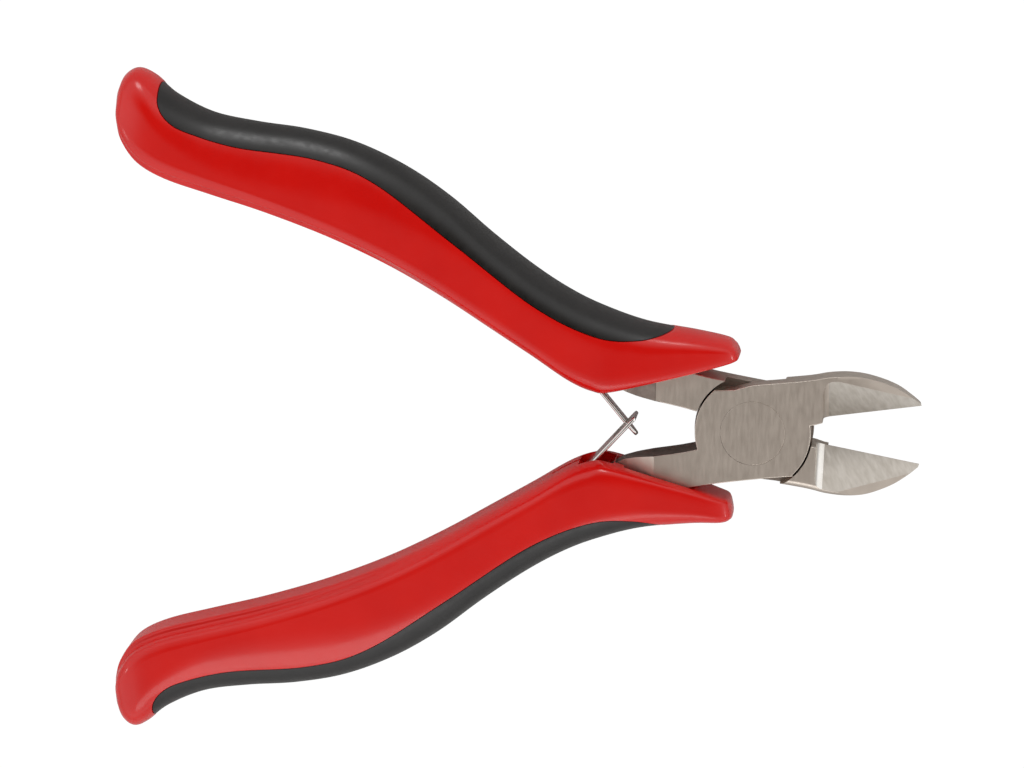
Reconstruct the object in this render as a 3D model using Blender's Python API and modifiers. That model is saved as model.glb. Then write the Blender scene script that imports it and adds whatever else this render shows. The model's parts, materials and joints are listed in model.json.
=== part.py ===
"""Mini diagonal cutting pliers with a lap joint, lying flat and held open by their springs.

The part lies on its grips: +Z is up through the thickness, +X points at the jaws, and the two
handles spread along Y. Two levers turn on one rivet. The front lever has the upper lap, the
handle on -Y and the jaw on +Y. The rear lever is the front lever turned half a turn about X,
apart from the jaw's bevels, which are ground on the upper side of both. Each handle is a hard
sleeve over the lever's tang with a soft insert along its outer side, and each sleeve holds a
wire spring shaped like a U. The two U's cross between the handles.
"""

import math

import bmesh
import bpy
from mathutils import Matrix, Vector

MM = 0.001
GAP = 0.3                      # clearance between neighbouring pieces
MOUTH_GAP = 0.35               # beside the handle in the sleeve's mouth

# Sizes are in millimetres and degrees. Places in plan are measured from the pivot, for the
# front arm: its handle is on -Y and its jaw on +Y.
TIP_X = 22.12                  # end of the jaws
BUTT_X = -86.2                 # end of the handles
OPEN_HALF_ANGLE = 10.0         # how far each lever stands open

HEAD_THICKNESS = 5.6
LAP_RADIUS = 7.95
RIVET_HEAD_RADIUS = 4.3
RIVET_HEAD_HEIGHT = 1.1
RIVET_SHANK_RADIUS = 2.6
RIVET_RECESS = 0.05            # how far the rivet's ends lie below the laps' faces
ROUND_STEPS = 48

EDGE_START = 9.4               # the cutting edge, along a ray from the pivot
EDGE_END = 22.5
EDGE_CLEARANCE = 0.08          # half the gap left between the closed edges
EDGE_HEIGHT = -1.1             # the cutting edges lie below the middle plane
EDGE_LAND = 0.25
BEVEL_ANGLE = 36.0             # the big bevel on the jaws' upper side
BEVEL_WIDTH = 5.4
STEP_TOP_X = 8.45              # the step between lap and bevel, at the lap's face
STEP_FOOT_X = 9.4
BACK_BEVEL_ANGLE = 50.0
BACK_BEVEL_WIDTH = 1.6
# The jaw thins to its tip above and below: where each slope starts, and its angle.
NOSE_TOP = (11.0, 16.5)
NOSE_BOTTOM = (14.0, 6.0)
JAW_ROOT = (8.4, 1.65)         # the inner corner between lap and jaw

TANG_HALF_THICKNESS = 1.5
TANG_SLOPE = (-13.0, -17.0)    # where the handle thins to the tang, above and below

GRIP_HALF_THICKNESS = 6.0
GRIP_CORNER = 0.76             # corner radius as a share of the half thickness
CORNER_STEPS = 3
SECTION_STEPS = 2

WIRE_RADIUS = 0.275
WIRE_BEND_RADIUS = 0.75
SPRING_ANCHOR = (-21.4, -5.3)  # where the wire leaves the sleeve
SPRING_TIP = (-15.85, 1.1)
SPRING_STUB = 1.2              # wire inside the sleeve, past the anchor
FRONT_SPRING_HALF_WIDTH = 2.65
REAR_SPRING_HALF_WIDTH = 1.0
CHANNEL_HALF_WIDTH = 3.3
# The channel in the sleeve's inner side that the wire comes out of.
CHANNEL = ((-26.6, -9.0), (-17.5, -5.8), (-17.5, -2.0), (-26.6, -4.0))

# The jaw's back, from the tip to the lap's corner beside the other handle.
JAW_BACK = ((21.95, 4.4), (20.6, 5.4), (16.9, 7.35), (12.4, 8.2), (7.4, 7.5), (3.0, 6.9),
            (-0.5, 6.65), (-5.2, 6.02))
# The two edges of the handle and its tang, away from the lap and back to it.
TANG_INNER = ((-7.5, -2.6), (-9.8, -3.15), (-16.2, -4.35), (-18.3, -5.3), (-24.0, -9.6),
              (-42.0, -20.6), (-60.0, -29.5))
TANG_OUTER = ((-60.0, -32.2), (-42.0, -23.9), (-24.0, -12.3), (-12.0, -8.9), (-6.4, -7.4),
              (1.2, -6.15), (5.6, -5.6))
# The grip's sections from the guard beside the head to the butt:
# the inner end and the outer end in plan, and the half thickness.
GRIP_SECTIONS = (
    ((-2.9, -9.4), (-2.4, -11.0), 2.0),
    ((-3.9, -8.95), (-3.4, -12.0), 3.6),
    ((-8.0, -7.85), (-8.0, -13.0), 4.7),
    ((-14.0, -6.2), (-14.8, -14.0), 5.5),
    ((-19.3, -4.75), (-20.8, -15.85), 6.0),
    ((-21.4, -4.7), (-25.4, -17.9), 6.0),
    ((-24.6, -6.0), (-30.2, -20.8), 6.0),
    ((-29.4, -9.05), (-35.8, -24.95), 6.0),
    ((-35.0, -12.5), (-41.6, -29.7), 6.0),
    ((-41.4, -16.4), (-47.6, -33.5), 6.0),
    ((-48.8, -20.4), (-54.2, -36.3), 6.0),
    ((-57.0, -23.95), (-60.9, -37.8), 6.0),
    ((-65.5, -26.9), (-67.4, -38.5), 6.0),
    ((-73.0, -29.05), (-73.4, -39.6), 6.0),
    ((-79.2, -30.9), (-78.4, -42.0), 6.0),
    ((-83.0, -32.9), (-81.2, -44.4), 5.8),
    ((-85.2, -35.6), (-83.4, -45.35), 5.0),
    ((-86.0, -38.0), (-85.0, -44.5), 3.8),
    ((-86.2, -39.9), (-85.9, -42.8), 2.0),
)
# The line between sleeve and insert, from the insert's rear end to its front end.
INSERT_LINE = ((-80.9, -45.6), (-80.3, -41.3), (-77.5, -38.0), (-69.5, -35.85), (-58.8, -34.6),
               (-50.8, -31.75), (-40.1, -24.2), (-29.4, -16.4), (-21.4, -12.7), (-15.6, -12.2),
               (-10.9, -13.3), (-9.6, -14.6))
INSERT_CUTTER_Y = -50.0        # beyond the handle, where the insert's cutter closes
CUT_MARGIN = 1.0               # how far a cutter reaches past what it cuts

PIVOT = Vector((-(TIP_X + BUTT_X) / 2, 0.0, GRIP_HALF_THICKNESS)) * MM
HALF_HEAD = HEAD_THICKNESS / 2

# Colour, roughness and metallic value.
STEEL = ((0.36, 0.31, 0.27), 0.38, 1.0)
RED_PLASTIC = ((0.62, 0.014, 0.010), 0.28, 0.0)
BLACK_RUBBER = ((0.020, 0.019, 0.019), 0.55, 0.0)
SPRING_STEEL = ((0.55, 0.52, 0.50), 0.22, 1.0)


def clear_scene():
    for old in list(bpy.data.objects):
        bpy.data.objects.remove(old, do_unlink=True)


def new_collection(name):
    collection = bpy.data.collections.new(name)
    bpy.context.scene.collection.children.link(collection)
    return collection


def new_arm(name, turn, collection):
    """The empty on the pivot that carries an arm; the turn is in degrees about X."""
    arm = bpy.data.objects.new(name, None)
    arm.location = PIVOT
    arm.rotation_euler.x = math.radians(turn)
    collection.objects.link(arm)
    return arm


def new_object(name, data, collection, arm):
    obj = bpy.data.objects.new(name, data)
    obj.parent = arm
    collection.objects.link(obj)
    return obj


def finish(obj, look, sharp_angle=35.0):
    """Gives a piece its material and smooth shading with sharp edges."""
    colour, roughness, metallic = look
    material = bpy.data.materials.new(obj.name)
    material.use_nodes = True
    shader = material.node_tree.nodes["Principled BSDF"]
    shader.inputs["Base Color"].default_value = (*colour, 1.0)
    shader.inputs["Roughness"].default_value = roughness
    shader.inputs["Metallic"].default_value = metallic
    obj.data.materials.append(material)
    if obj.type == "MESH":
        obj.data.shade_smooth()
        obj.data.set_sharp_from_angle(angle=math.radians(sharp_angle))


def smooth_line(points, steps):
    """A smooth line through the points, with so many steps between neighbours."""
    known = [Vector(p) for p in points]
    padded = [2 * known[0] - known[1], *known, 2 * known[-1] - known[-2]]
    line = []
    for a, b, c, d in zip(padded, padded[1:], padded[2:], padded[3:]):
        for i in range(steps):
            t = i / steps
            line.append(0.5 * (2 * b + (c - a) * t + (2 * a - 5 * b + 4 * c - d) * t * t
                               + (3 * b - a - 3 * c + d) * t ** 3))
    return line + [known[-1]]


def arc(centre, radius, start, end, steps):
    """Points on an arc, from the start angle to the end angle in degrees."""
    angles = [math.radians(start + (end - start) * i / steps) for i in range(steps + 1)]
    return [Vector((centre[0] + radius * math.cos(a), centre[1] + radius * math.sin(a)))
            for a in angles]


def bearing(point):
    """The angle in degrees of a point as seen from the origin."""
    return math.degrees(math.atan2(point[1], point[0]))


def grown(points, distance):
    """A closed counter-clockwise outline, moved outwards by the distance."""
    result = []
    for before, here, after in zip(points[-1:] + points[:-1], points, points[1:] + points[:1]):
        normals = [Vector((d.y, -d.x)).normalized() for d in (here - before, after - here)]
        middle = (normals[0] + normals[1]).normalized()
        result.append(here + middle * distance / max(middle.dot(normals[0]), 0.5))
    return result


def ahead_of(points, x):
    """The part of a closed outline that lies ahead of a line across the handle."""
    result = []
    for here, after in zip(points, points[1:] + points[:1]):
        if here.x >= x:
            result.append(here)
        if (here.x < x) != (after.x < x):
            result.append(here.lerp(after, (x - here.x) / (after.x - here.x)))
    return result


def clean_mesh(mesh, change=None):
    """Applies a change to the mesh, welds it and turns its faces outwards."""
    shape = bmesh.new()
    shape.from_mesh(mesh)
    if change:
        change(shape)
    bmesh.ops.remove_doubles(shape, verts=shape.verts, dist=1e-6)
    bmesh.ops.recalc_face_normals(shape, faces=shape.faces)
    shape.to_mesh(mesh)
    shape.free()


def plate(name, outline, low, high, collection, arm, upright=False):
    """An outline in plan, extruded from one height to another.

    An upright plate has its outline in X and Z, and is extruded along Y instead.
    """
    curve = bpy.data.curves.new(name, "CURVE")
    curve.dimensions = "2D"
    curve.fill_mode = "BOTH"
    curve.extrude = (high - low) / 2 * MM
    spline = curve.splines.new("POLY")
    spline.points.add(len(outline) - 1)
    for point, place in zip(spline.points, outline):
        point.co = (place[0] * MM, place[1] * MM, 0.0, 1.0)
    spline.use_cyclic_u = True
    source = new_object(name, curve, collection, None)
    middle = (low + high) / 2 * MM
    if upright:
        source.location.y = middle
        source.rotation_euler.x = math.radians(90.0)
    else:
        source.location.z = middle
    bpy.context.view_layer.update()
    evaluated = source.evaluated_get(bpy.context.evaluated_depsgraph_get())
    mesh = bpy.data.meshes.new_from_object(evaluated)
    mesh.transform(source.matrix_world)
    bpy.data.objects.remove(source, do_unlink=True)
    clean_mesh(mesh)
    return new_object(name, mesh, collection, arm)


def block(name, corners, collection, arm):
    """The convex solid around its corners."""
    mesh = bpy.data.meshes.new(name)

    def fill(shape):
        for corner in corners:
            shape.verts.new(Vector(corner) * MM)
        bmesh.ops.convex_hull(shape, input=shape.verts)

    clean_mesh(mesh, fill)
    return new_object(name, mesh, collection, arm)


def drum(name, radius, low, high, collection, arm):
    """A cylinder on the pivot's axis."""
    mesh = bpy.data.meshes.new(name)
    place = Matrix.Translation((0.0, 0.0, (low + high) / 2 * MM))

    def fill(shape):
        bmesh.ops.create_cone(shape, cap_ends=True, segments=ROUND_STEPS, radius1=radius * MM,
                              radius2=radius * MM, depth=(high - low) * MM, matrix=place)

    clean_mesh(mesh, fill)
    return new_object(name, mesh, collection, arm)


def cut(target, cutter, operation="DIFFERENCE"):
    modifier = target.modifiers.new(cutter.name, "BOOLEAN")
    modifier.operation = operation
    modifier.solver = "EXACT"
    modifier.object = cutter
    cutter.hide_render = True
    cutter.display_type = "WIRE"


def edge_point(along, beside=0.0):
    """A point in plan on the cutting edge's line, or beside it towards the jaw's back."""
    angle = math.radians(OPEN_HALF_ANGLE)
    forward = Vector((math.cos(angle), math.sin(angle)))
    across = Vector((-forward.y, forward.x))
    return forward * along + across * (EDGE_CLEARANCE + beside)


def edge_y(x, beside):
    """The Y at a given X of the line that lies beside the cutting edge's line."""
    angle = math.radians(OPEN_HALF_ANGLE)
    return (EDGE_CLEARANCE + beside + x * math.sin(angle)) / math.cos(angle)


def tang_outline():
    """The handle from the lap to its end and back, in plan, counter-clockwise."""
    inner = smooth_line(TANG_INNER, 2)
    outer = smooth_line(TANG_OUTER, 2)
    centre = (inner[-1] + outer[0]) / 2
    start = bearing(inner[-1] - centre)
    end = arc(centre, (inner[-1] - centre).length, start, start + 180.0, 6)
    return inner[:-1] + end + outer[1:]


def lever_outline():
    """The whole lever in plan, counter-clockwise from the tip of its jaw."""
    left = arc((0.0, 0.0), LAP_RADIUS, bearing(JAW_BACK[-1]), bearing(TANG_INNER[0]) + 360.0, 9)
    right = arc((0.0, 0.0), LAP_RADIUS, bearing(TANG_OUTER[-1]), bearing(JAW_ROOT), 7)
    jaw = smooth_line(JAW_BACK, 2)
    return (jaw[:-1] + left + tang_outline()[1:-1] + right
            + [Vector(JAW_ROOT), edge_point(EDGE_START), edge_point(EDGE_END)])


def cut_lap(lever, cutters, arm):
    """Makes room for the other lap, and for the rivet."""
    under = -HALF_HEAD - CUT_MARGIN
    name = lever.name
    cut(lever, drum(name + "_recess", LAP_RADIUS + GAP, under, GAP / 2, cutters, arm))
    cut(lever, drum(name + "_bore", RIVET_SHANK_RADIUS + GAP, under, -under, cutters, arm))
    seat = HALF_HEAD - RIVET_RECESS - RIVET_HEAD_HEIGHT - GAP
    cut(lever, drum(name + "_seat", RIVET_HEAD_RADIUS + GAP, seat, -under, cutters, arm))


def cut_handle(lever, cutters, arm):
    """Thins the handle to its tang, above and below."""
    start, end = TANG_SLOPE
    rear = TANG_INNER[-1][0] - 3 * CUT_MARGIN
    above = HALF_HEAD + CUT_MARGIN
    side = (TANG_OUTER[0][1] - 3 * CUT_MARGIN, 0.0)
    for name, face in (("top", 1), ("bottom", -1)):
        outline = ((start, above * face), (start, HALF_HEAD * face),
                   (end, TANG_HALF_THICKNESS * face), (rear, TANG_HALF_THICKNESS * face),
                   (rear, above * face))
        cutter = plate(f"{lever.name}_{name}", outline, *side, cutters, arm, upright=True)
        cut(lever, cutter)


def cut_jaw(lever, face, cutters, arm):
    """Grinds the jaw's bevels; face is 1 where the upper side is the arm's own upper side."""
    above = HALF_HEAD + CUT_MARGIN
    reach = EDGE_END + 2 * CUT_MARGIN
    rise = math.tan(math.radians(BEVEL_ANGLE))
    root = edge_y(STEP_TOP_X, -CUT_MARGIN)
    bevel = [(STEP_TOP_X, root, HALF_HEAD), (STEP_TOP_X, root, above)]
    for beside in (-CUT_MARGIN, BEVEL_WIDTH + CUT_MARGIN):
        for x in (STEP_FOOT_X, reach):
            y = edge_y(x, beside)
            bevel += [(x, y, EDGE_HEIGHT + beside * rise), (x, y, above)]
    fall = math.tan(math.radians(BACK_BEVEL_ANGLE))
    back = []
    for beside in (-CUT_MARGIN, BACK_BEVEL_WIDTH):
        height = EDGE_HEIGHT - EDGE_LAND - beside * fall
        for along in (EDGE_START + 2 * EDGE_LAND, reach):
            place = edge_point(along, beside)
            back += [(*place, height), (*place, -above)]
    shapes = [("bevel", bevel), ("back_bevel", back)]
    for name, side, (start, angle) in (("nose_top", 1, NOSE_TOP), ("nose_bottom", -1, NOSE_BOTTOM)):
        slope = math.tan(math.radians(angle))
        nose = []
        for x in (start - CUT_MARGIN, reach):
            height = (HALF_HEAD - (x - start) * slope) * side
            nose += [(x, y, z) for y in (0.0, 10.0) for z in (height, above * side)]
        shapes.append((name, nose))
    for name, corners in shapes:
        corners = [(x, y, z * face) for x, y, z in corners]
        cut(lever, block(f"{lever.name}_{name}", corners, cutters, arm))


def make_lever(name, face, parts, cutters, arm):
    lever = plate(name, lever_outline(), -HALF_HEAD, HALF_HEAD, parts, arm)
    cut_lap(lever, cutters, arm)
    cut_handle(lever, cutters, arm)
    cut_jaw(lever, face, cutters, arm)
    finish(lever, STEEL)


def make_rivet(name, parts, arm):
    """A turned rivet whose two heads lie flush in the laps."""
    top = HALF_HEAD - RIVET_RECESS
    under = top - RIVET_HEAD_HEIGHT
    profile = ((0.0, top), (RIVET_HEAD_RADIUS, top), (RIVET_HEAD_RADIUS, under),
               (RIVET_SHANK_RADIUS, under), (RIVET_SHANK_RADIUS, -under),
               (RIVET_HEAD_RADIUS, -under), (RIVET_HEAD_RADIUS, -top), (0.0, -top))
    mesh = bpy.data.meshes.new(name)
    points = [(radius * MM, 0.0, height * MM) for radius, height in profile]
    mesh.from_pydata(points, [(i, i + 1) for i in range(len(points) - 1)], [])
    rivet = new_object(name, mesh, parts, arm)
    screw = rivet.modifiers.new("turn", "SCREW")
    screw.axis = "Z"
    screw.steps = ROUND_STEPS
    screw.render_steps = ROUND_STEPS
    screw.use_merge_vertices = True
    screw.merge_threshold = 0.00001
    finish(rivet, STEEL)


def section_ring(numbers):
    """The points of one section of the grip, a rectangle with round corners."""
    inner, outer = Vector(numbers[0:2]), Vector(numbers[2:4])
    half_thickness = min(numbers[4], GRIP_HALF_THICKNESS)
    centre = (inner + outer) / 2
    across = (outer - inner).normalized()
    half_width = (outer - inner).length / 2
    radius = min(GRIP_CORNER * half_thickness, 0.95 * half_width)
    ring = []
    for quarter, (u, z) in enumerate(((1, 1), (-1, 1), (-1, -1), (1, -1))):
        corner = (u * (half_width - radius), z * (half_thickness - radius))
        ring += [(*(centre + across * p.x), p.y)
                 for p in arc(corner, radius, 90.0 * quarter, 90.0 * quarter + 90.0, CORNER_STEPS)]
    return ring


def grip_mesh(name):
    """The whole grip, sleeve and insert together, lofted through its sections."""
    numbers = [(*inner, *outer, thickness) for inner, outer, thickness in GRIP_SECTIONS]
    rings = [section_ring(row) for row in smooth_line(numbers, SECTION_STEPS)]
    mesh = bpy.data.meshes.new(name)

    def fill(shape):
        rows = [[shape.verts.new(Vector(p) * MM) for p in ring] for ring in rings]
        for row, following in zip(rows, rows[1:]):
            for i in range(len(row)):
                shape.faces.new((row[i - 1], row[i], following[i], following[i - 1]))
        shape.faces.new(rows[0])
        shape.faces.new(rows[-1])

    clean_mesh(mesh, fill)
    return mesh


def insert_outline():
    """The area in plan that the soft insert takes from the grip, counter-clockwise."""
    line = smooth_line(INSERT_LINE, 2)
    return [Vector((line[0].x, INSERT_CUTTER_Y)), Vector((line[-1].x, INSERT_CUTTER_Y)),
            *reversed(line)]


def make_sleeve(name, parts, cutters, arm):
    """The hard sleeve, open for the tang and for the spring, and cut back for the insert."""
    sleeve = new_object(name, grip_mesh(name), parts, arm)
    reach = GRIP_HALF_THICKNESS + CUT_MARGIN
    cut(sleeve, plate(name + "_insert", insert_outline(), -reach, reach, cutters, arm))
    tang = grown(tang_outline(), GAP)
    openings = (("tang", tang, TANG_HALF_THICKNESS + GAP),
                ("mouth", ahead_of(grown(tang_outline(), MOUTH_GAP), TANG_SLOPE[1]),
                 HALF_HEAD + GAP),
                ("channel", CHANNEL, CHANNEL_HALF_WIDTH))
    for kind, outline, half in openings:
        cut(sleeve, plate(f"{name}_{kind}", outline, -half, half, cutters, arm))
    finish(sleeve, RED_PLASTIC)


def make_insert(name, parts, cutters, arm):
    insert = new_object(name, grip_mesh(name), parts, arm)
    reach = GRIP_HALF_THICKNESS + CUT_MARGIN
    area = grown(insert_outline(), -GAP)
    cut(insert, plate(name + "_area", area, -reach, reach, cutters, arm), "INTERSECT")
    finish(insert, BLACK_RUBBER)


def make_spring(name, half_width, parts, arm):
    """A wire bent into a U, with both ends in the sleeve and its origin where it leaves it."""
    anchor = Vector(SPRING_ANCHOR)
    leg = Vector(SPRING_TIP) - anchor
    bend = (leg.length - WIRE_BEND_RADIUS, half_width - WIRE_BEND_RADIUS)
    upper = arc(bend, WIRE_BEND_RADIUS, 90.0, 0.0, 4)
    route = [Vector((-SPRING_STUB, half_width)), *upper]
    route += [Vector((p.x, -p.y)) for p in reversed(route)]
    curve = bpy.data.curves.new(name, "CURVE")
    curve.dimensions = "3D"
    curve.bevel_depth = WIRE_RADIUS * MM
    curve.bevel_resolution = 2
    curve.use_fill_caps = True
    spline = curve.splines.new("POLY")
    spline.points.add(len(route) - 1)
    direction = leg.normalized()
    for point, place in zip(spline.points, route):
        point.co = (*(direction * place.x * MM), place.y * MM, 1.0)
    spring = new_object(name, curve, parts, arm)
    spring.location = (*(anchor * MM), 0.0)
    finish(spring, SPRING_STEEL)


def main():
    clear_scene()
    parts = new_collection("diagonal_cutting_pliers")
    cutters = new_collection("cutters")
    front_arm = new_arm("front_arm", 0.0, parts)
    rear_arm = new_arm("rear_arm", 180.0, parts)
    make_rivet("pivot_rivet", parts, front_arm)
    for side, arm, face in (("front", front_arm, 1), ("rear", rear_arm, -1)):
        make_lever(side + "_lever", face, parts, cutters, arm)
        make_sleeve(side + "_sleeve", parts, cutters, arm)
        make_insert(side + "_insert", parts, cutters, arm)
    make_spring("front_spring", FRONT_SPRING_HALF_WIDTH, parts, front_arm)
    make_spring("rear_spring", REAR_SPRING_HALF_WIDTH, parts, rear_arm)


main()
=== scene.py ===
"""The looks of the diagonal cutting pliers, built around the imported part."""

import json
import math

import bmesh
import bpy
import numpy as np
from mathutils import Matrix, Vector


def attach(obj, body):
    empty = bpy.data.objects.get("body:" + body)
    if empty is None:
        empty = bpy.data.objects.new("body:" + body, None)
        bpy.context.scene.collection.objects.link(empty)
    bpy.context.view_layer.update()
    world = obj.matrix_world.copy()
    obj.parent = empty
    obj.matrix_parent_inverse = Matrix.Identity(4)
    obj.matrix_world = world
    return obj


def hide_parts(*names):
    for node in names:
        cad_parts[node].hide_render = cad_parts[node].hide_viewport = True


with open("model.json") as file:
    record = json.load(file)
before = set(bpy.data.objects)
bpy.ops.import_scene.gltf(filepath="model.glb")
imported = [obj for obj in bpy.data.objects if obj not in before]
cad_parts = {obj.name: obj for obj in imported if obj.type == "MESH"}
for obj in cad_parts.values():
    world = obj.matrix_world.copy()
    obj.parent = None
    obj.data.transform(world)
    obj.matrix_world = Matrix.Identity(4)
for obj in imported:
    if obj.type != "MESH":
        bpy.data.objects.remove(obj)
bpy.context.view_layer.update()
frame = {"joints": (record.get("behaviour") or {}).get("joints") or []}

MM = 0.001
joint_at = {j["name"]: Vector(j["pos_m"]) for j in frame["joints"]}
PIVOT = joint_at["pivot"]
# Each arm's own frame: millimetres from the pivot, with the jaw towards +X and the handle
# towards -X and -Y. The rear arm's frame is turned over.
ARMS = {
    "front": Matrix.Translation(PIVOT) @ Matrix.Scale(MM, 4),
    "rear": Matrix.Translation(PIVOT) @ Matrix.Rotation(math.pi, 4, "X") @ Matrix.Scale(MM, 4),
}

# Head: half thickness, the laps, the recesses that they turn in, and the rivet.
HALF_HEAD = 2.8
LAP_RADIUS = {"front": 7.7, "rear": 7.9}
RECESS_RADIUS = {"front": 8.12, "rear": 7.94}
LAP_GAP = 0.06
RIVET_RADIUS = 4.3
RIVET_SHANK = 2.6
RIVET_SINK = 0.02
RIVET_GAP = 0.02
RIVET_HEAD = 1.05
RIVET_SEAT = 1.2
SHANK_GAP = 0.05
CIRCLE_SIDES = 144
# How far the cutters reach past the metal.
CLEAR = 1.0
# What the recess takes off beyond its circle, beside the handle and beside the jaw.
RECESS_SIDES = (
    ((-9.5, -2.4), (-3.0, -2.4), (-3.0, 7.5), (-9.5, 7.5)),
    ((4.5, -7.0), (9.5, -7.0), (9.5, 1.3), (4.5, 1.3)),
)

# Jaw: the cutting edge, the bevel that is ground on one side, and the small one under the edge.
EDGE_ANGLE = math.radians(9.4)
EDGE_TIP = (22.1, 3.963)
EDGE_HEIGHT = -1.1
EDGE_LAND = 0.12
EDGE_START = 9.3
BEVEL_SLOPE = math.tan(math.radians(36.0))
BEVEL_WIDTH = 5.4
UNDER_SLOPE = math.tan(math.radians(50.0))
UNDER_WIDTH = 1.6
UNDER_START = 9.9
STEP_X = {"front": 9.2, "rear": 8.4}
STEP_RADIUS = 1.05
JAW_ROOT = (8.2, 1.5)
JAW_END = 25.0
# The nose thins towards the tip: side, where it starts, and its slope in degrees.
NOSE = ((1, 11.0, 16.5), (-1, 14.0, 6.0))

# Roundings of the lever's rims. BACK_ROUND gives the jaw's back its extra rounding on the far
# side, as places along X and the share there of BACK_HEIGHT and BACK_DEPTH.
RIM = 0.12
BACK_ROUND = ((-1.0, 4.0, 13.0, 19.0, 21.8), (0.0, 1.0, 1.0, 0.35, 0.0))
BACK_HEIGHT = 1.9
BACK_DEPTH = 0.95
BACK_MIN_Y = 4.2
EDGE_SOFTNESS = 0.07

# Tang: it slopes from the head's thickness to its own between these two X.
TANG_HALF_THICKNESS = 1.5
TANG_SLOPE = (-13.0, -17.0)
TANG_END = -64.0

JAW_BACK = ((21.95, 4.35), (20.6, 5.35), (18.9, 6.45), (16.9, 7.3), (14.6, 7.95), (12.4, 8.2),
            (9.8, 8.0), (7.4, 7.5), (3.0, 6.9))
LAP_CORNER = {
    "front": ((-0.2, 6.5), (-2.6, 5.75), (-5.1, 5.6)),
    "rear": ((-0.5, 6.65), (-5.2, 6.02)),
}
TANG_INNER = ((-7.5, -2.6), (-9.8, -3.15), (-13.0, -3.75), (-16.2, -4.35), (-18.3, -5.3),
              (-24.0, -9.6), (-42.0, -20.6), (-60.0, -29.5))
TANG_OUTER = ((-60.0, -32.2), (-42.0, -23.9), (-24.0, -12.3), (-12.0, -8.9), (-6.4, -7.4),
              (1.2, -6.15), (5.6, -5.6))

# The grip's sections from the guard to the butt: inner end and outer end in plan, half
# thickness, width of the outer rounding, width of the inner rounding, and the inner side's
# style, from -1, crisp, over 0, round, to 1, creased.
GRIP_SECTIONS = (
    (-8.0, -7.85, -8.0, -13.0, 4.7, 2.2, 1.6, -1.0),
    (-14.0, -6.2, -14.8, -14.0, 5.5, 3.4, 1.8, -0.9),
    (-19.3, -4.75, -20.8, -15.9, 6.0, 4.6, 2.2, -0.5),
    (-21.4, -4.7, -25.4, -18.0, 6.0, 5.5, 2.5, 0.0),
    (-24.6, -6.0, -30.2, -20.95, 6.0, 6.5, 2.8, 0.0),
    (-29.4, -9.05, -35.8, -25.1, 6.0, 7.5, 2.9, 0.0),
    (-35.0, -12.5, -41.7, -29.9, 6.0, 8.5, 2.9, 0.0),
    (-41.4, -16.4, -47.7, -33.7, 6.0, 9.0, 2.9, 0.15),
    (-48.8, -20.4, -54.3, -36.55, 6.0, 9.2, 2.9, 0.6),
    (-57.0, -23.95, -60.95, -38.05, 6.0, 9.0, 2.9, 0.9),
    (-65.5, -26.9, -67.4, -38.75, 6.0, 8.0, 2.9, 1.0),
    (-73.0, -29.05, -73.4, -39.8, 6.0, 6.8, 2.9, 1.0),
    (-79.2, -30.9, -78.4, -42.1, 6.0, 5.6, 2.9, 1.0),
    (-83.0, -32.9, -81.2, -44.4, 5.8, 4.9, 2.9, 1.0),
)
# The two handles' ends differ a little.
GRIP_GUARD = {
    "front": (
        (-2.75, -9.7, -2.35, -11.6, 2.2, 0.7, 0.7, -1.0),
        (-3.2, -9.3, -2.6, -12.2, 3.3, 1.1, 1.1, -1.0),
        (-4.4, -8.95, -3.9, -12.75, 4.0, 1.5, 1.4, -1.0),
    ),
    "rear": (
        (-2.15, -10.1, -2.5, -11.0, 2.2, 0.6, 0.6, -1.0),
        (-2.5, -9.6, -2.95, -11.6, 3.3, 1.1, 1.1, -1.0),
        (-4.1, -9.0, -3.95, -12.25, 4.0, 1.5, 1.4, -1.0),
    ),
}
GRIP_BUTT = {
    "front": (
        (-84.9, -35.6, -82.9, -45.2, 5.0, 4.2, 2.5, 0.9),
        (-85.6, -38.0, -84.3, -44.5, 3.8, 3.0, 2.0, 0.8),
        (-85.75, -39.9, -85.3, -42.9, 2.0, 1.4, 1.2, 0.5),
    ),
    "rear": (
        (-85.2, -35.6, -83.4, -45.3, 5.0, 4.2, 2.5, 0.9),
        (-86.0, -38.0, -85.0, -44.5, 3.8, 3.0, 2.0, 0.8),
        (-86.15, -39.9, -85.85, -42.8, 2.0, 1.4, 1.2, 0.5),
    ),
}
# Depth and height of the inner rounding: flat and crisp beside the guard, round at the middle,
# and with a crease beside the raised spine towards the butt.
CRISP_CORNER = ((0.0, 0.0), (0.0, 1.4), (0.01, 2.6), (0.03, 3.6), (0.08, 4.5), (0.22, 5.2),
                (0.52, 5.65), (1.0, 5.88), (1.7, 5.97), (2.9, 6.0))
PLAIN_CORNER = ((0.0, 0.0), (0.0, 1.2), (0.03, 2.3), (0.12, 3.1), (0.3, 3.8), (0.62, 4.5),
                (1.05, 5.1), (1.6, 5.55), (2.2, 5.85), (2.9, 6.0))
CREASED_CORNER = ((0.0, 0.0), (0.0, 1.6), (0.0, 2.7), (0.07, 3.15), (0.3, 3.45), (0.68, 3.58),
                  (0.95, 3.95), (1.12, 4.7), (1.45, 5.5), (2.5, 6.0))
INSERT_LINE = ((-80.6, -46.2), (-80.3, -43.5), (-80.0, -41.0), (-78.6, -39.0), (-76.0, -37.6),
               (-69.5, -35.85), (-58.8, -34.6), (-50.8, -31.75), (-40.1, -24.2), (-29.4, -16.4),
               (-21.4, -12.7), (-15.6, -12.2), (-10.9, -13.3), (-9.6, -14.6))
INSERT_EDGE_Y = -52.0
GRIP_HALF = 6.0
CORNER_WIDTH = 2.9
GROOVE_DEPTH = 0.9
INSERT_SINK = 0.05
INSERT_GAP = 0.1
INSERT_DEPTH = 0.85
TANG_GAP = 0.25
TANG_HOLE = 1.8
MOUTH_START = -17.0
MOUTH_GAP = 0.35
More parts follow.
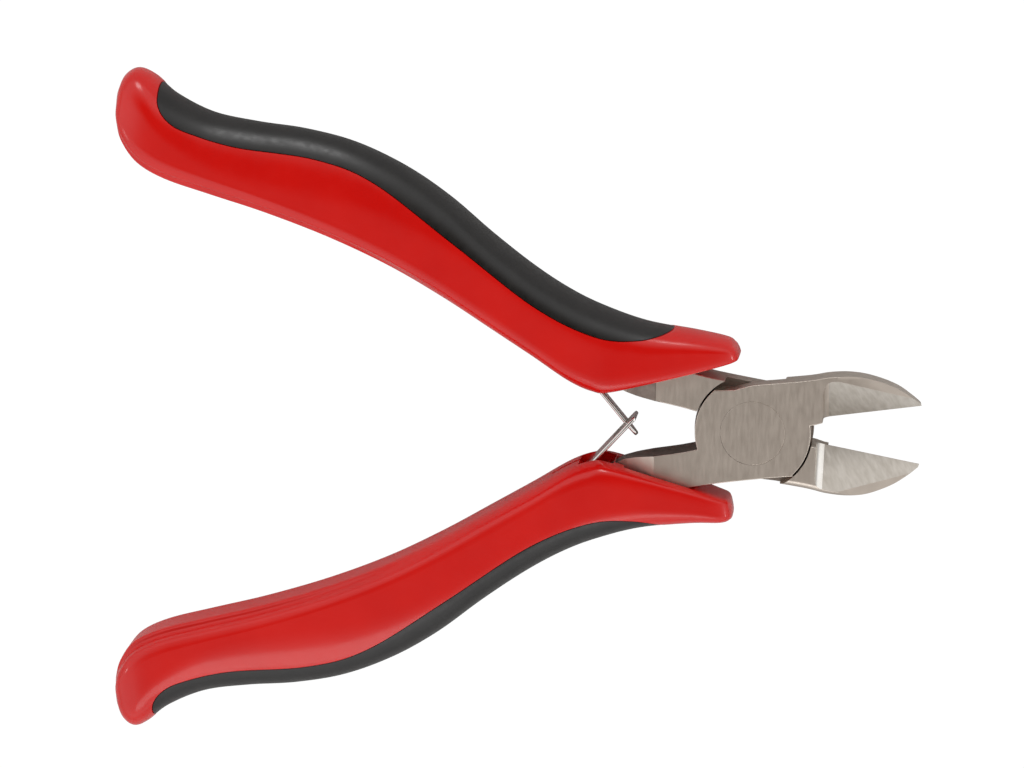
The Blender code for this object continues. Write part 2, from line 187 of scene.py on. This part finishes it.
MOUTH_HOLE = 3.05
SPRING_POCKET = ((-23.2, -5.5), (-22.6, -6.9), (-20.9, -6.6), (-18.4, -5.2), (-18.4, -3.0),
                 (-22.1, -3.0))
POCKET_HALF = 2.8
SPRING_SLIT = ((-26.9, -8.2), (-21.5, -5.6), (-21.5, -2.5), (-26.9, -2.5))
SLIT_HALF = 0.45

# Springs: each leaf points at SPRING_TIP in its arm's frame, a little past where the two cross.
# LEAF_FOOT is its length behind its joint, and LEAF_TAPER the length of its narrowing end.
SPRING_TIP = (-15.85, 1.1)
LEAF_THICKNESS = 0.52
LEAF_FOOT = 1.2
LEAF_TAPER = 2.6
# Half the leaf's width, its length ahead of the joint, and half its width at the end.
LEAVES = {"front": (2.6, 8.6, 2.3), "rear": (1.0, 8.9, 0.5)}
# The front leaf's window: its start and end along the leaf, and its half height.
WINDOW = (4.5, 7.9, 1.35)


def smooth_line(points, steps):
    """A Catmull-Rom line through the points."""
    points = np.array(points, float)
    padded = np.vstack([2 * points[0] - points[1], points, 2 * points[-1] - points[-2]])
    line = []
    for a, b, c, d in zip(padded, padded[1:], padded[2:], padded[3:]):
        for t in np.arange(steps) / steps:
            line.append(0.5 * (2 * b + (c - a) * t + (2 * a - 5 * b + 4 * c - d) * t * t
                               + (3 * b - a - 3 * c + d) * t ** 3))
    return np.array(line + [points[-1]])


def arc(centre, radius, start, end, steps):
    angles = np.radians(np.linspace(start, end, steps + 1))
    return np.array(centre) + radius * np.column_stack([np.cos(angles), np.sin(angles)])


def bearing(point):
    return math.degrees(math.atan2(point[1], point[0]))


def outward(points):
    """The offset direction of each corner of a counter-clockwise outline, mitred."""
    ahead = np.roll(points, -1, axis=0) - points
    ahead /= np.linalg.norm(ahead, axis=1)[:, None]
    normal = np.column_stack([ahead[:, 1], -ahead[:, 0]])
    both = normal + np.roll(normal, 1, axis=0)
    both /= np.linalg.norm(both, axis=1)[:, None]
    share = np.sum(both * normal, axis=1)
    return both / np.maximum(share, 0.5)[:, None]


def simplified(points, spacing=0.02):
    """The outline without corners that lie on top of each other."""
    kept = [points[0]]
    for point in points[1:]:
        if np.linalg.norm(point - kept[-1]) > spacing:
            kept.append(point)
    if np.linalg.norm(kept[0] - kept[-1]) <= spacing:
        kept.pop()
    return np.array(kept)


def placed(name, shape):
    """Turns a bmesh into an object in the scene."""
    mesh = bpy.data.meshes.new(name)
    shape.to_mesh(mesh)
    shape.free()
    made = bpy.data.objects.new(name, mesh)
    bpy.context.scene.collection.objects.link(made)
    return made


def new_mesh(name, rings):
    """A closed mesh through rings of points, capped at both ends."""
    shape = bmesh.new()
    rows = [[shape.verts.new(tuple(p)) for p in ring] for ring in rings]
    for row, following in zip(rows, rows[1:]):
        for i in range(len(row)):
            shape.faces.new((row[i - 1], row[i], following[i], following[i - 1]))
    shape.faces.new(rows[0])
    shape.faces.new(rows[-1])
    bmesh.ops.recalc_face_normals(shape, faces=shape.faces)
    return placed(name, shape)


def plate(outline, low, high):
    """An outline in plan, extruded."""
    outline = np.asarray(outline, float)
    rings = [np.column_stack([outline, np.full(len(outline), z)]) for z in (low, high)]
    return new_mesh("cutter", rings)


def block(corners):
    """The convex solid around its corners."""
    shape = bmesh.new()
    for corner in corners:
        shape.verts.new(corner)
    bmesh.ops.convex_hull(shape, input=shape.verts)
    bmesh.ops.recalc_face_normals(shape, faces=shape.faces)
    return placed("cutter", shape)


def bake(target):
    """Applies the object's modifiers to its mesh."""
    bpy.context.view_layer.update()
    evaluated = target.evaluated_get(bpy.context.evaluated_depsgraph_get())
    mesh = bpy.data.meshes.new_from_object(evaluated)
    target.modifiers.clear()
    target.data = mesh


def cut(target, cutters, operation="DIFFERENCE"):
    for cutter in cutters:
        modifier = target.modifiers.new("cut", "BOOLEAN")
        modifier.operation = operation
        modifier.solver = "EXACT"
        modifier.object = cutter
    bake(target)
    for cutter in cutters:
        bpy.data.objects.remove(cutter, do_unlink=True)


def tidy(target, merge=0.002):
    """Welds slivers that a cut leaves behind."""
    shape = bmesh.new()
    shape.from_mesh(target.data)
    bmesh.ops.remove_doubles(shape, verts=shape.verts, dist=merge)
    bmesh.ops.dissolve_degenerate(shape, edges=shape.edges, dist=merge / 2)
    shape.to_mesh(target.data)
    shape.free()


def settle(target, name, arm, material, sharp=35.0):
    """Moves a piece from its arm's frame into the object's frame."""
    target.name = name
    target.data.transform(ARMS[arm])
    target.data.name = name
    target.data.shade_smooth()
    target.data.set_sharp_from_angle(angle=math.radians(sharp))
    target.data.materials.clear()
    target.data.materials.append(material)


def stand_for(piece, body, node):
    """Lets a piece ride on a body, in place of a CAD node."""
    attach(piece, body)
    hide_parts(node)


# Grips ------------------------------------------------------------------------------------


def grip_section(row, inset):
    """One section's ring of points, from the inner side over the top and back below."""
    inner, outer = np.array(row[0:2]), np.array(row[2:4])
    half, outer_width, inner_width, crease = row[4:8]
    along = (outer - inner) / np.linalg.norm(outer - inner)
    width = np.linalg.norm(outer - inner) - 2 * inset
    origin = inner + along * inset
    half = min(half, GRIP_HALF) - inset
    plain = np.array(PLAIN_CORNER)
    other = np.array(CREASED_CORNER if crease > 0 else CRISP_CORNER)
    corner = smooth_line(plain + (other - plain) * min(abs(crease), 1.0), 3)
    corner = corner * (inner_width / CORNER_WIDTH, half / GRIP_HALF)
    outer_width = min(outer_width, width - inner_width)
    angles = np.linspace(0.0, math.pi / 2, 20)
    power = 2.0 / 2.15
    rim = np.column_stack([width - outer_width + outer_width * np.sin(angles) ** power,
                           half * np.cos(angles) ** power])
    middle = np.linspace(corner[-1, 0], rim[0, 0], 8)[1:-1]
    top = np.vstack([corner, np.column_stack([middle, np.full(len(middle), half)]), rim])
    top[-1, 1] = 0.0
    ring = np.vstack([top, (top * (1, -1))[-2:0:-1]])
    return np.column_stack([origin + ring[:, :1] * along, ring[:, 1]])


def grip_solid(side, inset=0.0):
    rows = smooth_line(GRIP_GUARD[side] + GRIP_SECTIONS + GRIP_BUTT[side], 8)
    return new_mesh("grip", [grip_section(row, inset) for row in rows])


def insert_prism(shrink=0.0):
    line = smooth_line(INSERT_LINE, 8)
    outline = np.vstack([[(line[0][0], INSERT_EDGE_Y), (line[-1][0], INSERT_EDGE_Y)],
                         line[::-1]])
    outline = outline - outward(outline) * shrink
    return plate(outline, -8.0, 8.0)


def tang_outline():
    inner, outer = smooth_line(TANG_INNER, 6), smooth_line(TANG_OUTER, 6)
    centre = (inner[-1] + outer[0]) / 2
    start = bearing(inner[-1] - centre)
    end = arc(centre, np.linalg.norm(inner[-1] - centre), start, start + 180.0, 8)
    return simplified(np.vstack([inner[:-1], end, outer[1:]]))


def ahead_of(points, x):
    """The part of a closed outline that lies ahead of a line across the handle."""
    result = []
    for here, after in zip(points, np.roll(points, -1, axis=0)):
        if here[0] >= x:
            result.append(here)
        if (here[0] < x) != (after[0] < x):
            result.append(here + (after - here) * (x - here[0]) / (after[0] - here[0]))
    return np.array(result)


def build_grip(side):
    build_sleeve(side)
    build_insert(side)


def build_sleeve(side):
    """The red sleeve, cut for the insert, the tang, the spring and the spring's slit."""
    groove = insert_prism()
    cut(groove, [grip_solid(side, GROOVE_DEPTH)])
    sleeve = grip_solid(side)
    cut(sleeve, [groove])
    tang = tang_outline()
    out = outward(tang)
    mouth = ahead_of(tang + out * MOUTH_GAP, MOUTH_START)
    for outline, half in ((tang + out * TANG_GAP, TANG_HOLE), (mouth, MOUTH_HOLE),
                          (SPRING_POCKET, POCKET_HALF), (SPRING_SLIT, SLIT_HALF)):
        cut(sleeve, [plate(outline, -half, half)])
    tidy(sleeve)
    settle(sleeve, f"{side}_grip_sleeve", side, RED, 40.0)
    stand_for(sleeve, f"{side}_arm", f"{side}_sleeve")


def build_insert(side):
    """The black insert, a shell that lies flush in the sleeve's groove."""
    insert = grip_solid(side, INSERT_SINK)
    cut(insert, [insert_prism(INSERT_GAP)], "INTERSECT")
    cut(insert, [grip_solid(side, INSERT_DEPTH)])
    tidy(insert)
    settle(insert, f"{side}_grip_insert", side, RUBBER, 40.0)
    stand_for(insert, f"{side}_arm", f"{side}_insert")


# Levers -----------------------------------------------------------------------------------


def edge_y(x, beside):
    """The Y at a given X of the line that lies beside the cutting edge's line."""
    return EDGE_TIP[1] + (x - EDGE_TIP[0]) * math.tan(EDGE_ANGLE) + beside / math.cos(EDGE_ANGLE)


def lever_outline(side):
    radius = LAP_RADIUS[side]
    corner = LAP_CORNER[side]
    left = arc((0, 0), radius, bearing(corner[-1]), bearing(TANG_INNER[0]) + 360.0, 24)
    right = arc((0, 0), radius, bearing(TANG_OUTER[-1]), bearing(JAW_ROOT), 20)
    jaw = smooth_line(JAW_BACK, 5)
    root = np.array([JAW_ROOT] + [(x, edge_y(x, 0.0)) for x in (EDGE_START, EDGE_TIP[0])])
    return simplified(np.vstack([jaw, corner, left, tang_outline(), right, root]))


def lever_blank(side):
    """The lever's blank, with rounded rims; the jaw's back is rounded far more below."""
    outline = lever_outline(side)
    direction = outward(outline)
    x, y = outline.T
    back = (y > BACK_MIN_Y) & (x > BACK_ROUND[0][0])
    share = np.where(back, np.interp(x, *BACK_ROUND), 0.0)
    rings = []
    steps = 5
    for k in range(steps + 1):
        angle = math.pi / 2 * k / steps
        height = RIM + share * BACK_HEIGHT
        inset = RIM + share * BACK_DEPTH
        ring = outline - direction * (inset * (1 - math.sin(angle)))[:, None]
        rings.append(np.column_stack([ring, -HALF_HEAD + height * (1 - math.cos(angle))]))
    for k in range(steps + 1):
        angle = math.pi / 2 * (1 - k / steps)
        ring = outline - direction * (RIM * (1 - math.sin(angle)))
        z = np.full(len(ring), HALF_HEAD - RIM * (1 - math.cos(angle)))
        rings.append(np.column_stack([ring, z]))
    return rings


def circle(radius):
    return arc((0, 0), radius, 0, 360, CIRCLE_SIDES)[:-1]


def lap_cutters(side, top):
    """What makes the lap: the other arm's recess, and the rivet's hole."""
    tools = [plate(circle(RECESS_RADIUS[side]), -top, LAP_GAP / 2),
             plate(circle(RIVET_SHANK + SHANK_GAP), -top, top)]
    tools += [plate(outline, -top, LAP_GAP / 2) for outline in RECESS_SIDES]
    tools.append(plate(circle(RIVET_RADIUS + RIVET_GAP), HALF_HEAD - RIVET_SEAT, top))
    return tools


def tang_cutters(top):
    """What thins the tang, on both sides, with a slope at its start."""
    heights = ((TANG_SLOPE[0], HALF_HEAD), (TANG_SLOPE[1], TANG_HALF_THICKNESS),
               (TANG_END, TANG_HALF_THICKNESS))
    return [block([(xx, yy, zz * sign) for xx, z in heights for yy in (-36.0, 0.0)
                   for zz in (z, top)]) for sign in (1, -1)]


def jaw_cutters(face, top):
    """What the grinding takes off below the edge and off both sides of the nose."""
    shapes = [[]]
    for beside in (-CLEAR, UNDER_WIDTH):
        low = EDGE_HEIGHT - EDGE_LAND - beside * UNDER_SLOPE
        for xx in (UNDER_START, JAW_END):
            shapes[0] += [(xx, edge_y(xx, beside), zz) for zz in (low, -top)]
    for sign, start, slope in NOSE:
        nose = []
        for xx in (start - CLEAR, JAW_END):
            z = (HALF_HEAD - (xx - start) * math.tan(math.radians(slope))) * sign
            nose += [(xx, yy, zz) for yy in (0.0, 12.0) for zz in (z, top * sign)]
        shapes.append(nose)
    return [block([(xx, yy, zz * face) for xx, yy, zz in corners]) for corners in shapes]


def build_lever(side):
    face = 1 if side == "front" else -1
    top = HALF_HEAD + CLEAR
    lever = new_mesh("lever", lever_blank(side))
    cut(lever, lap_cutters(side, top) + tang_cutters(top))
    cut(lever, jaw_cutters(face, top))
    cut(lever, [bevel_cutter(side, face, top)])
    tidy(lever)
    settle(lever, f"{side}_lever_forging", side, STEEL, 24.0)
    soften(lever, EDGE_SOFTNESS)
    for material in (GROUND, PAINTED_SHADE, PAINTED_HIGHLIGHT):
        lever.data.materials.append(material)
    finish_faces(lever, face)
    stand_for(lever, f"{side}_arm", f"{side}_lever")


def soften(target, width):
    """Rounds the crisp edges that the grinding left, and keeps the flat faces flat."""
    bevel = target.modifiers.new("edge", "BEVEL")
    bevel.width = width * MM
    bevel.segments = 2
    bevel.limit_method = "ANGLE"
    bevel.angle_limit = math.radians(30.0)
    bevel.use_clamp_overlap = True
    bake(target)
    target.data.shade_smooth()
    target.data.set_sharp_from_angle(angle=math.radians(30.0))
    weighted = target.modifiers.new("flat", "WEIGHTED_NORMAL")
    weighted.weight = 100
    weighted.keep_sharp = True
    bake(target)


def bevel_cutter(side, face, top):
    """What the grinding takes off the jaw: a flat bevel with a rounded inner corner."""
    start = STEP_X[side]
    round_corner = arc((start + STEP_RADIUS, STEP_RADIUS), STEP_RADIUS, 180.0, 270.0, 8)
    rings = []
    for beside in (-CLEAR, BEVEL_WIDTH + 2 * CLEAR):
        floor = EDGE_HEIGHT + beside * BEVEL_SLOPE
        profile = [(start, top + 6.0)] + [(x, floor + z) for x, z in round_corner]
        profile += [(JAW_END, floor), (JAW_END, top + 6.0)]
        rings.append([(x, edge_y(x, beside), z * face) for x, z in profile])
    return new_mesh("cutter", rings)


def finish_faces(lever, face):
    """Gives each face its finish, by its place in mm and its normal; the rest stays satin.

    The ground faces are the bevels; the rear jaw's step gets a light steel, a painted highlight.
    The handles' inner walls, the lap's wall and floor, and the rear tang's slope get a dark
    steel, painted shade.
    """
    bevel_low, bevel_high = math.cos(math.radians(42.0)), math.cos(math.radians(30.0))
    ground, painted_shade, painted_highlight = 1, 2, 3
    for polygon in lever.data.polygons:
        place = (polygon.center - PIVOT) / MM
        normal = polygon.normal
        reach = place.xy.length
        step = face < 0 and 8.0 < place.x < 9.7 and normal.x > 0.12 and normal.z > 0.1
        handle_wall = place.x < -5.0 and normal.y * face > 0.25 and abs(normal.z) < 0.7
        lap_wall = place.x < 0.0 and abs(place.y) < 5.4 and reach < 8.6 and abs(normal.z) < 0.5
        lap_floor = abs(place.z) < 0.3 and abs(normal.z) > 0.7 and reach < 9.0
        slope = face < 0 and place.x < -12.5 and 0.3 < abs(normal.z) < 0.995
        # Painted highlight: the rear jaw's step gets the light steel.
        if step:
            polygon.material_index = painted_highlight
        elif place.x > 8.6 and bevel_low < normal.z < bevel_high:
            polygon.material_index = ground
        # Painted shade: these walls, the lap's recess and the rear tang's slope get the dark
        # steel.
        elif handle_wall or lap_wall or lap_floor or slope:
            polygon.material_index = painted_shade


def build_rivet():
    top = HALF_HEAD - RIVET_SINK
    profile = [(RIVET_RADIUS - 0.06, top), (RIVET_RADIUS, top - 0.03),
               (RIVET_RADIUS, top - RIVET_HEAD), (RIVET_SHANK, top - RIVET_HEAD)]
    profile += [(radius, -z) for radius, z in reversed(profile)]
    rings = [np.column_stack([circle(radius), np.full(CIRCLE_SIDES, z)]) for radius, z in profile]
    rivet = new_mesh("rivet", rings)
    settle(rivet, "rivet_turned", "front", STEEL, 20.0)
    stand_for(rivet, "front_arm", "pivot_rivet")


# Springs ----------------------------------------------------------------------------------


def build_spring(side):
    """A leaf of spring steel on edge; the rear one passes through the front one's window."""
    half_width, reach, end_half_width = LEAVES[side]
    anchor = (joint_at[f"{side}_wire_bend"] - PIVOT) / MM
    anchor = np.array((anchor.x, anchor.y if side == "front" else -anchor.y))
    forward = np.array(SPRING_TIP) - anchor
    forward /= np.linalg.norm(forward)
    across = np.array((-forward[1], forward[0]))
    radius = LEAF_THICKNESS / 2
    rim = arc((0, 0), radius, 0.0, 180.0, 8)
    taper = reach - LEAF_TAPER
    stations = [(-LEAF_FOOT, half_width), (taper, half_width)]
    stations += [(taper + LEAF_TAPER * t, half_width + (end_half_width - half_width) * t ** 2)
                 for t in (0.25, 0.5, 0.75, 0.92)]
    stations += [(reach, end_half_width - 0.12)]
    rings = []
    for k, (distance, half) in enumerate(stations):
        slim = 0.8 if k == len(stations) - 1 else 1.0
        section = np.vstack([rim + (0, half - radius), (rim * (-1, -1)) - (0, half - radius)])
        place = anchor + forward * distance + across * section[:, :1] * slim
        rings.append(np.column_stack([place, section[:, 1]]))
    spring = new_mesh("spring", rings)
    if side == "front":
        start, end, half_height = WINDOW
        window = [anchor + forward * distance + across * beside
                  for distance in (start, end) for beside in (-1.0, 1.0)]
        corners = [(*place, z) for place in window for z in (-half_height, half_height)]
        cut(spring, [block(corners)])
    tidy(spring, 0.0005)
    settle(spring, f"{side}_spring_leaf", side, LEAF, 40.0)
    stand_for(spring, f"{side}_wire", f"{side}_spring")


# Materials --------------------------------------------------------------------------------

GRINDING_ANGLE = -62.0

class Nodes:
    """A material's node tree, with short calls to add and join nodes."""

    def __init__(self, name):
        self.material = bpy.data.materials.new(name)
        self.material.use_nodes = True
        self.tree = self.material.node_tree
        self.shader = self.tree.nodes["Principled BSDF"]
        self.place = self.tree.nodes.new("ShaderNodeTexCoord").outputs["Object"]

    def set(self, **values):
        for name, value in values.items():
            self.shader.inputs[name.replace("_", " ")].default_value = value

    def link(self, source, target):
        self.tree.links.new(source, target)

    def noise(self, size, detail=3.0, turn=0.0):
        """Noise with features of about the given size in millimetres, turned about Z."""
        mapping = self.tree.nodes.new("ShaderNodeMapping")
        mapping.vector_type = "TEXTURE"
        lengths = size if isinstance(size, tuple) else (size, size, size)
        mapping.inputs["Scale"].default_value = [s * MM for s in lengths]
        mapping.inputs["Rotation"].default_value = (0.0, 0.0, math.radians(turn))
        self.link(self.place, mapping.inputs["Vector"])
        noise = self.tree.nodes.new("ShaderNodeTexNoise")
        noise.inputs["Scale"].default_value = 1.0
        noise.inputs["Detail"].default_value = detail
        self.link(mapping.outputs["Vector"], noise.inputs["Vector"])
        return noise.outputs["Fac"]

    def span(self, source, low, high, start=0.3, end=0.7):
        """Maps a texture's middle range to the given values."""
        node = self.tree.nodes.new("ShaderNodeMapRange")
        node.inputs["From Min"].default_value = start
        node.inputs["From Max"].default_value = end
        node.inputs["To Min"].default_value = low
        node.inputs["To Max"].default_value = high
        self.link(source, node.inputs["Value"])
        return node.outputs["Result"]

    def blend(self, factor, first, second):
        node = self.tree.nodes.new("ShaderNodeMix")
        node.data_type = "RGBA"
        self.link(factor, node.inputs["Factor"])
        for socket, colour in (("A", first), ("B", second)):
            target = next(i for i in node.inputs if i.name == socket and i.type == "RGBA")
            target.default_value = (*colour, 1.0)
        return next(o for o in node.outputs if o.type == "RGBA")

    def bump(self, height, distance, strength=1.0, before=None):
        node = self.tree.nodes.new("ShaderNodeBump")
        node.inputs["Strength"].default_value = strength
        node.inputs["Distance"].default_value = distance * MM
        self.link(height, node.inputs["Height"])
        if before is not None:
            self.link(before, node.inputs["Normal"])
        return node.outputs["Normal"]


def red_plastic():
    n = Nodes("red_plastic")
    n.set(IOR=1.49)
    tone = n.span(n.noise(9.0, 2.0), 0.0, 1.0)
    n.link(n.blend(tone, (0.68, 0.0060, 0.0042), (0.74, 0.009, 0.0060)),
           n.shader.inputs["Base Color"])
    n.link(n.span(n.noise(1.6, 3.0), 0.16, 0.24), n.shader.inputs["Roughness"])
    wavy = n.bump(n.noise(5.0, 1.0), 0.012, 0.4)
    n.link(n.bump(n.noise(0.5, 2.0), 0.0015, 0.5, wavy), n.shader.inputs["Normal"])
    return n.material


def black_rubber():
    n = Nodes("black_rubber")
    n.set(IOR=1.5)
    tone = n.span(n.noise(2.5, 4.0), 0.0, 1.0)
    n.link(n.blend(tone, (0.007, 0.0058, 0.0055), (0.012, 0.0105, 0.0098)),
           n.shader.inputs["Base Color"])
    n.link(n.span(n.noise(0.8, 3.0), 0.30, 0.40), n.shader.inputs["Roughness"])
    n.link(n.bump(n.noise(0.18, 3.0), 0.006, 0.6), n.shader.inputs["Normal"])
    return n.material


def forged_steel():
    n = Nodes("satin_steel")
    n.set(Metallic=1.0)
    tone = n.span(n.noise(1.8, 4.0), 0.0, 1.0)
    n.link(n.blend(tone, (0.60, 0.53, 0.465), (0.66, 0.585, 0.515)),
           n.shader.inputs["Base Color"])
    n.link(n.span(n.noise((0.35, 2.4, 1.0), 3.0), 0.36, 0.46), n.shader.inputs["Roughness"])
    brush = n.noise((0.12, 1.6, 0.6), 3.0)
    n.link(n.bump(brush, 0.002, 0.35), n.shader.inputs["Normal"])
    return n.material


def ground_steel():
    n = Nodes("ground_steel")
    n.set(Metallic=1.0)
    tone = n.span(n.noise((2.4, 0.5, 1.0), 3.0, GRINDING_ANGLE), 0.0, 1.0)
    n.link(n.blend(tone, (0.47, 0.43, 0.38), (0.58, 0.54, 0.49)),
           n.shader.inputs["Base Color"])
    n.link(n.span(n.noise((3.0, 0.3, 1.0), 3.0, GRINDING_ANGLE), 0.30, 0.42),
           n.shader.inputs["Roughness"])
    scratch = n.noise((3.5, 0.16, 0.6), 4.0, GRINDING_ANGLE)
    n.link(n.bump(scratch, 0.010, 0.6), n.shader.inputs["Normal"])
    return n.material


# A light steel that is a painted highlight, for the rear jaw's step only.
def painted_highlight_steel():
    n = Nodes("painted_highlight_steel")
    n.set(Metallic=1.0)
    tone = n.span(n.noise(1.5, 3.0), 0.0, 1.0)
    n.link(n.blend(tone, (0.90, 0.86, 0.80), (0.97, 0.94, 0.90)), n.shader.inputs["Base Color"])
    n.link(n.span(n.noise(1.0, 3.0), 0.20, 0.28), n.shader.inputs["Roughness"])
    scratch = n.noise((3.5, 0.3, 0.6), 3.0, GRINDING_ANGLE)
    n.link(n.bump(scratch, 0.004, 0.4), n.shader.inputs["Normal"])
    return n.material


# A dark steel that is painted shade, for the recesses, the lap's wall and floor, the handles'
# inner walls and the rear tang's slope.
def painted_shade_steel():
    n = Nodes("painted_shade_steel")
    n.set(Metallic=1.0)
    tone = n.span(n.noise(1.2, 4.0), 0.0, 1.0)
    n.link(n.blend(tone, (0.23, 0.19, 0.165), (0.33, 0.285, 0.25)), n.shader.inputs["Base Color"])
    n.link(n.span(n.noise(0.8, 3.0), 0.42, 0.56), n.shader.inputs["Roughness"])
    n.link(n.bump(n.noise(0.3, 3.0), 0.012, 0.5), n.shader.inputs["Normal"])
    return n.material


def spring_steel():
    n = Nodes("spring_leaf_steel")
    n.set(Metallic=1.0)
    tone = n.span(n.noise(1.0, 2.0), 0.0, 1.0)
    n.link(n.blend(tone, (0.80, 0.77, 0.74), (0.88, 0.86, 0.84)), n.shader.inputs["Base Color"])
    n.link(n.span(n.noise((2.0, 0.2, 0.4), 2.0), 0.16, 0.26), n.shader.inputs["Roughness"])
    return n.material


RED = red_plastic()
RUBBER = black_rubber()
STEEL = forged_steel()
GROUND = ground_steel()
PAINTED_SHADE = painted_shade_steel()
PAINTED_HIGHLIGHT = painted_highlight_steel()
LEAF = spring_steel()

for side in ("front", "rear"):
    build_lever(side)
    build_grip(side)
build_rivet()
for side in ("front", "rear"):
    build_spring(side)


# Studio -----------------------------------------------------------------------------------

FLOOR_GAP = 0.00005
LIGHT_DISTANCE = 0.9
# The camera: its turns about X, Y and Z in degrees, and its place in mm from the pivot.
CAMERA_TURN = (-11.94274, 6.310765, 1.335515)
CAMERA_PLACE = (33.3704, 138.9669, 623.9626)
CAMERA_LENS = 168.75


def make_floor():
    """A plain floor. Its white glow is for the camera, so that it doesn't light the object."""
    shape = bmesh.new()
    bmesh.ops.create_grid(shape, x_segments=1, y_segments=1, size=1.5)
    floor = placed("studio_floor", shape)
    floor.location.z = -FLOOR_GAP
    n = Nodes("studio_white")
    n.set(Roughness=0.9, Base_Color=(0.62, 0.62, 0.62, 1.0))
    glow = n.tree.nodes.new("ShaderNodeEmission")
    glow.inputs["Strength"].default_value = 1.06
    path = n.tree.nodes.new("ShaderNodeLightPath")
    mix = n.tree.nodes.new("ShaderNodeMixShader")
    share = n.span(path.outputs["Is Camera Ray"], 0.0, 0.96, 0.0, 1.0)
    n.link(share, mix.inputs["Fac"])
    n.link(n.shader.outputs["BSDF"], mix.inputs[1])
    n.link(glow.outputs["Emission"], mix.inputs[2])
    output = n.tree.nodes["Material Output"]
    n.link(mix.outputs["Shader"], output.inputs["Surface"])
    floor.data.materials.append(n.material)


def soft_light(name, azimuth, elevation, size, radiance):
    """A round soft light that faces the object; its power follows from size and radiance."""
    data = bpy.data.lights.new(name, "AREA")
    data.shape = "DISK"
    data.size = size
    data.energy = radiance * math.pi * math.pi * (size / 2) ** 2
    light = bpy.data.objects.new(name, data)
    azimuth, elevation = math.radians(azimuth), math.radians(elevation)
    light.location = Vector((math.cos(azimuth) * math.cos(elevation),
                             math.sin(azimuth) * math.cos(elevation),
                             math.sin(elevation))) * LIGHT_DISTANCE
    light.rotation_euler = (-light.location).to_track_quat("-Z", "Y").to_euler()
    bpy.context.scene.collection.objects.link(light)


def make_world():
    """A bright surround with a dim patch above, a little towards +Y."""
    world = bpy.data.worlds.new("studio")
    bpy.context.scene.world = world
    world.use_nodes = True
    tree = world.node_tree
    background = tree.nodes["Background"]
    place = tree.nodes.new("ShaderNodeTexCoord")
    facing = tree.nodes.new("ShaderNodeVectorMath")
    facing.operation = "DOT_PRODUCT"
    facing.inputs[1].default_value = Vector((0.05, 0.2, 0.97)).normalized()
    ramp = tree.nodes.new("ShaderNodeValToRGB")
    tree.links.new(place.outputs["Generated"], facing.inputs[0])
    tree.links.new(facing.outputs["Value"], ramp.inputs["Fac"])
    tree.links.new(ramp.outputs["Color"], background.inputs["Color"])
    stops = ramp.color_ramp.elements
    stops[0].position, stops[0].color = 0.66, (1.0, 1.0, 1.0, 1.0)
    stops[1].position, stops[1].color = 0.965, (0.045, 0.034, 0.027, 1.0)
    middle = stops.new(0.88)
    middle.color = (0.36, 0.33, 0.30, 1.0)
    background.inputs["Strength"].default_value = 1.0


def make_camera():
    """The photo's view: from above, leaning a little towards +Y, with the jaws on the right."""
    data = bpy.data.cameras.new("camera")
    camera = bpy.data.objects.new("camera", data)
    bpy.context.scene.collection.objects.link(camera)
    bpy.context.scene.camera = camera
    camera.location = PIVOT + Vector(CAMERA_PLACE) * MM
    camera.rotation_euler = [math.radians(turn) for turn in CAMERA_TURN]
    data.sensor_width = 36.0
    data.lens = CAMERA_LENS
    data.clip_start = 0.01
    data.clip_end = 20.0


make_floor()
make_world()
soft_light("back_light", 90.0, 12.0, 0.26, 7.0)
soft_light("front_light", -90.0, 38.0, 0.50, 1.3)
soft_light("left_spot", 190.0, 24.0, 0.08, 14.0)
soft_light("right_spot", -10.0, 24.0, 0.12, 12.0)

make_camera()
bpy.context.scene.view_settings.view_transform = "Standard"
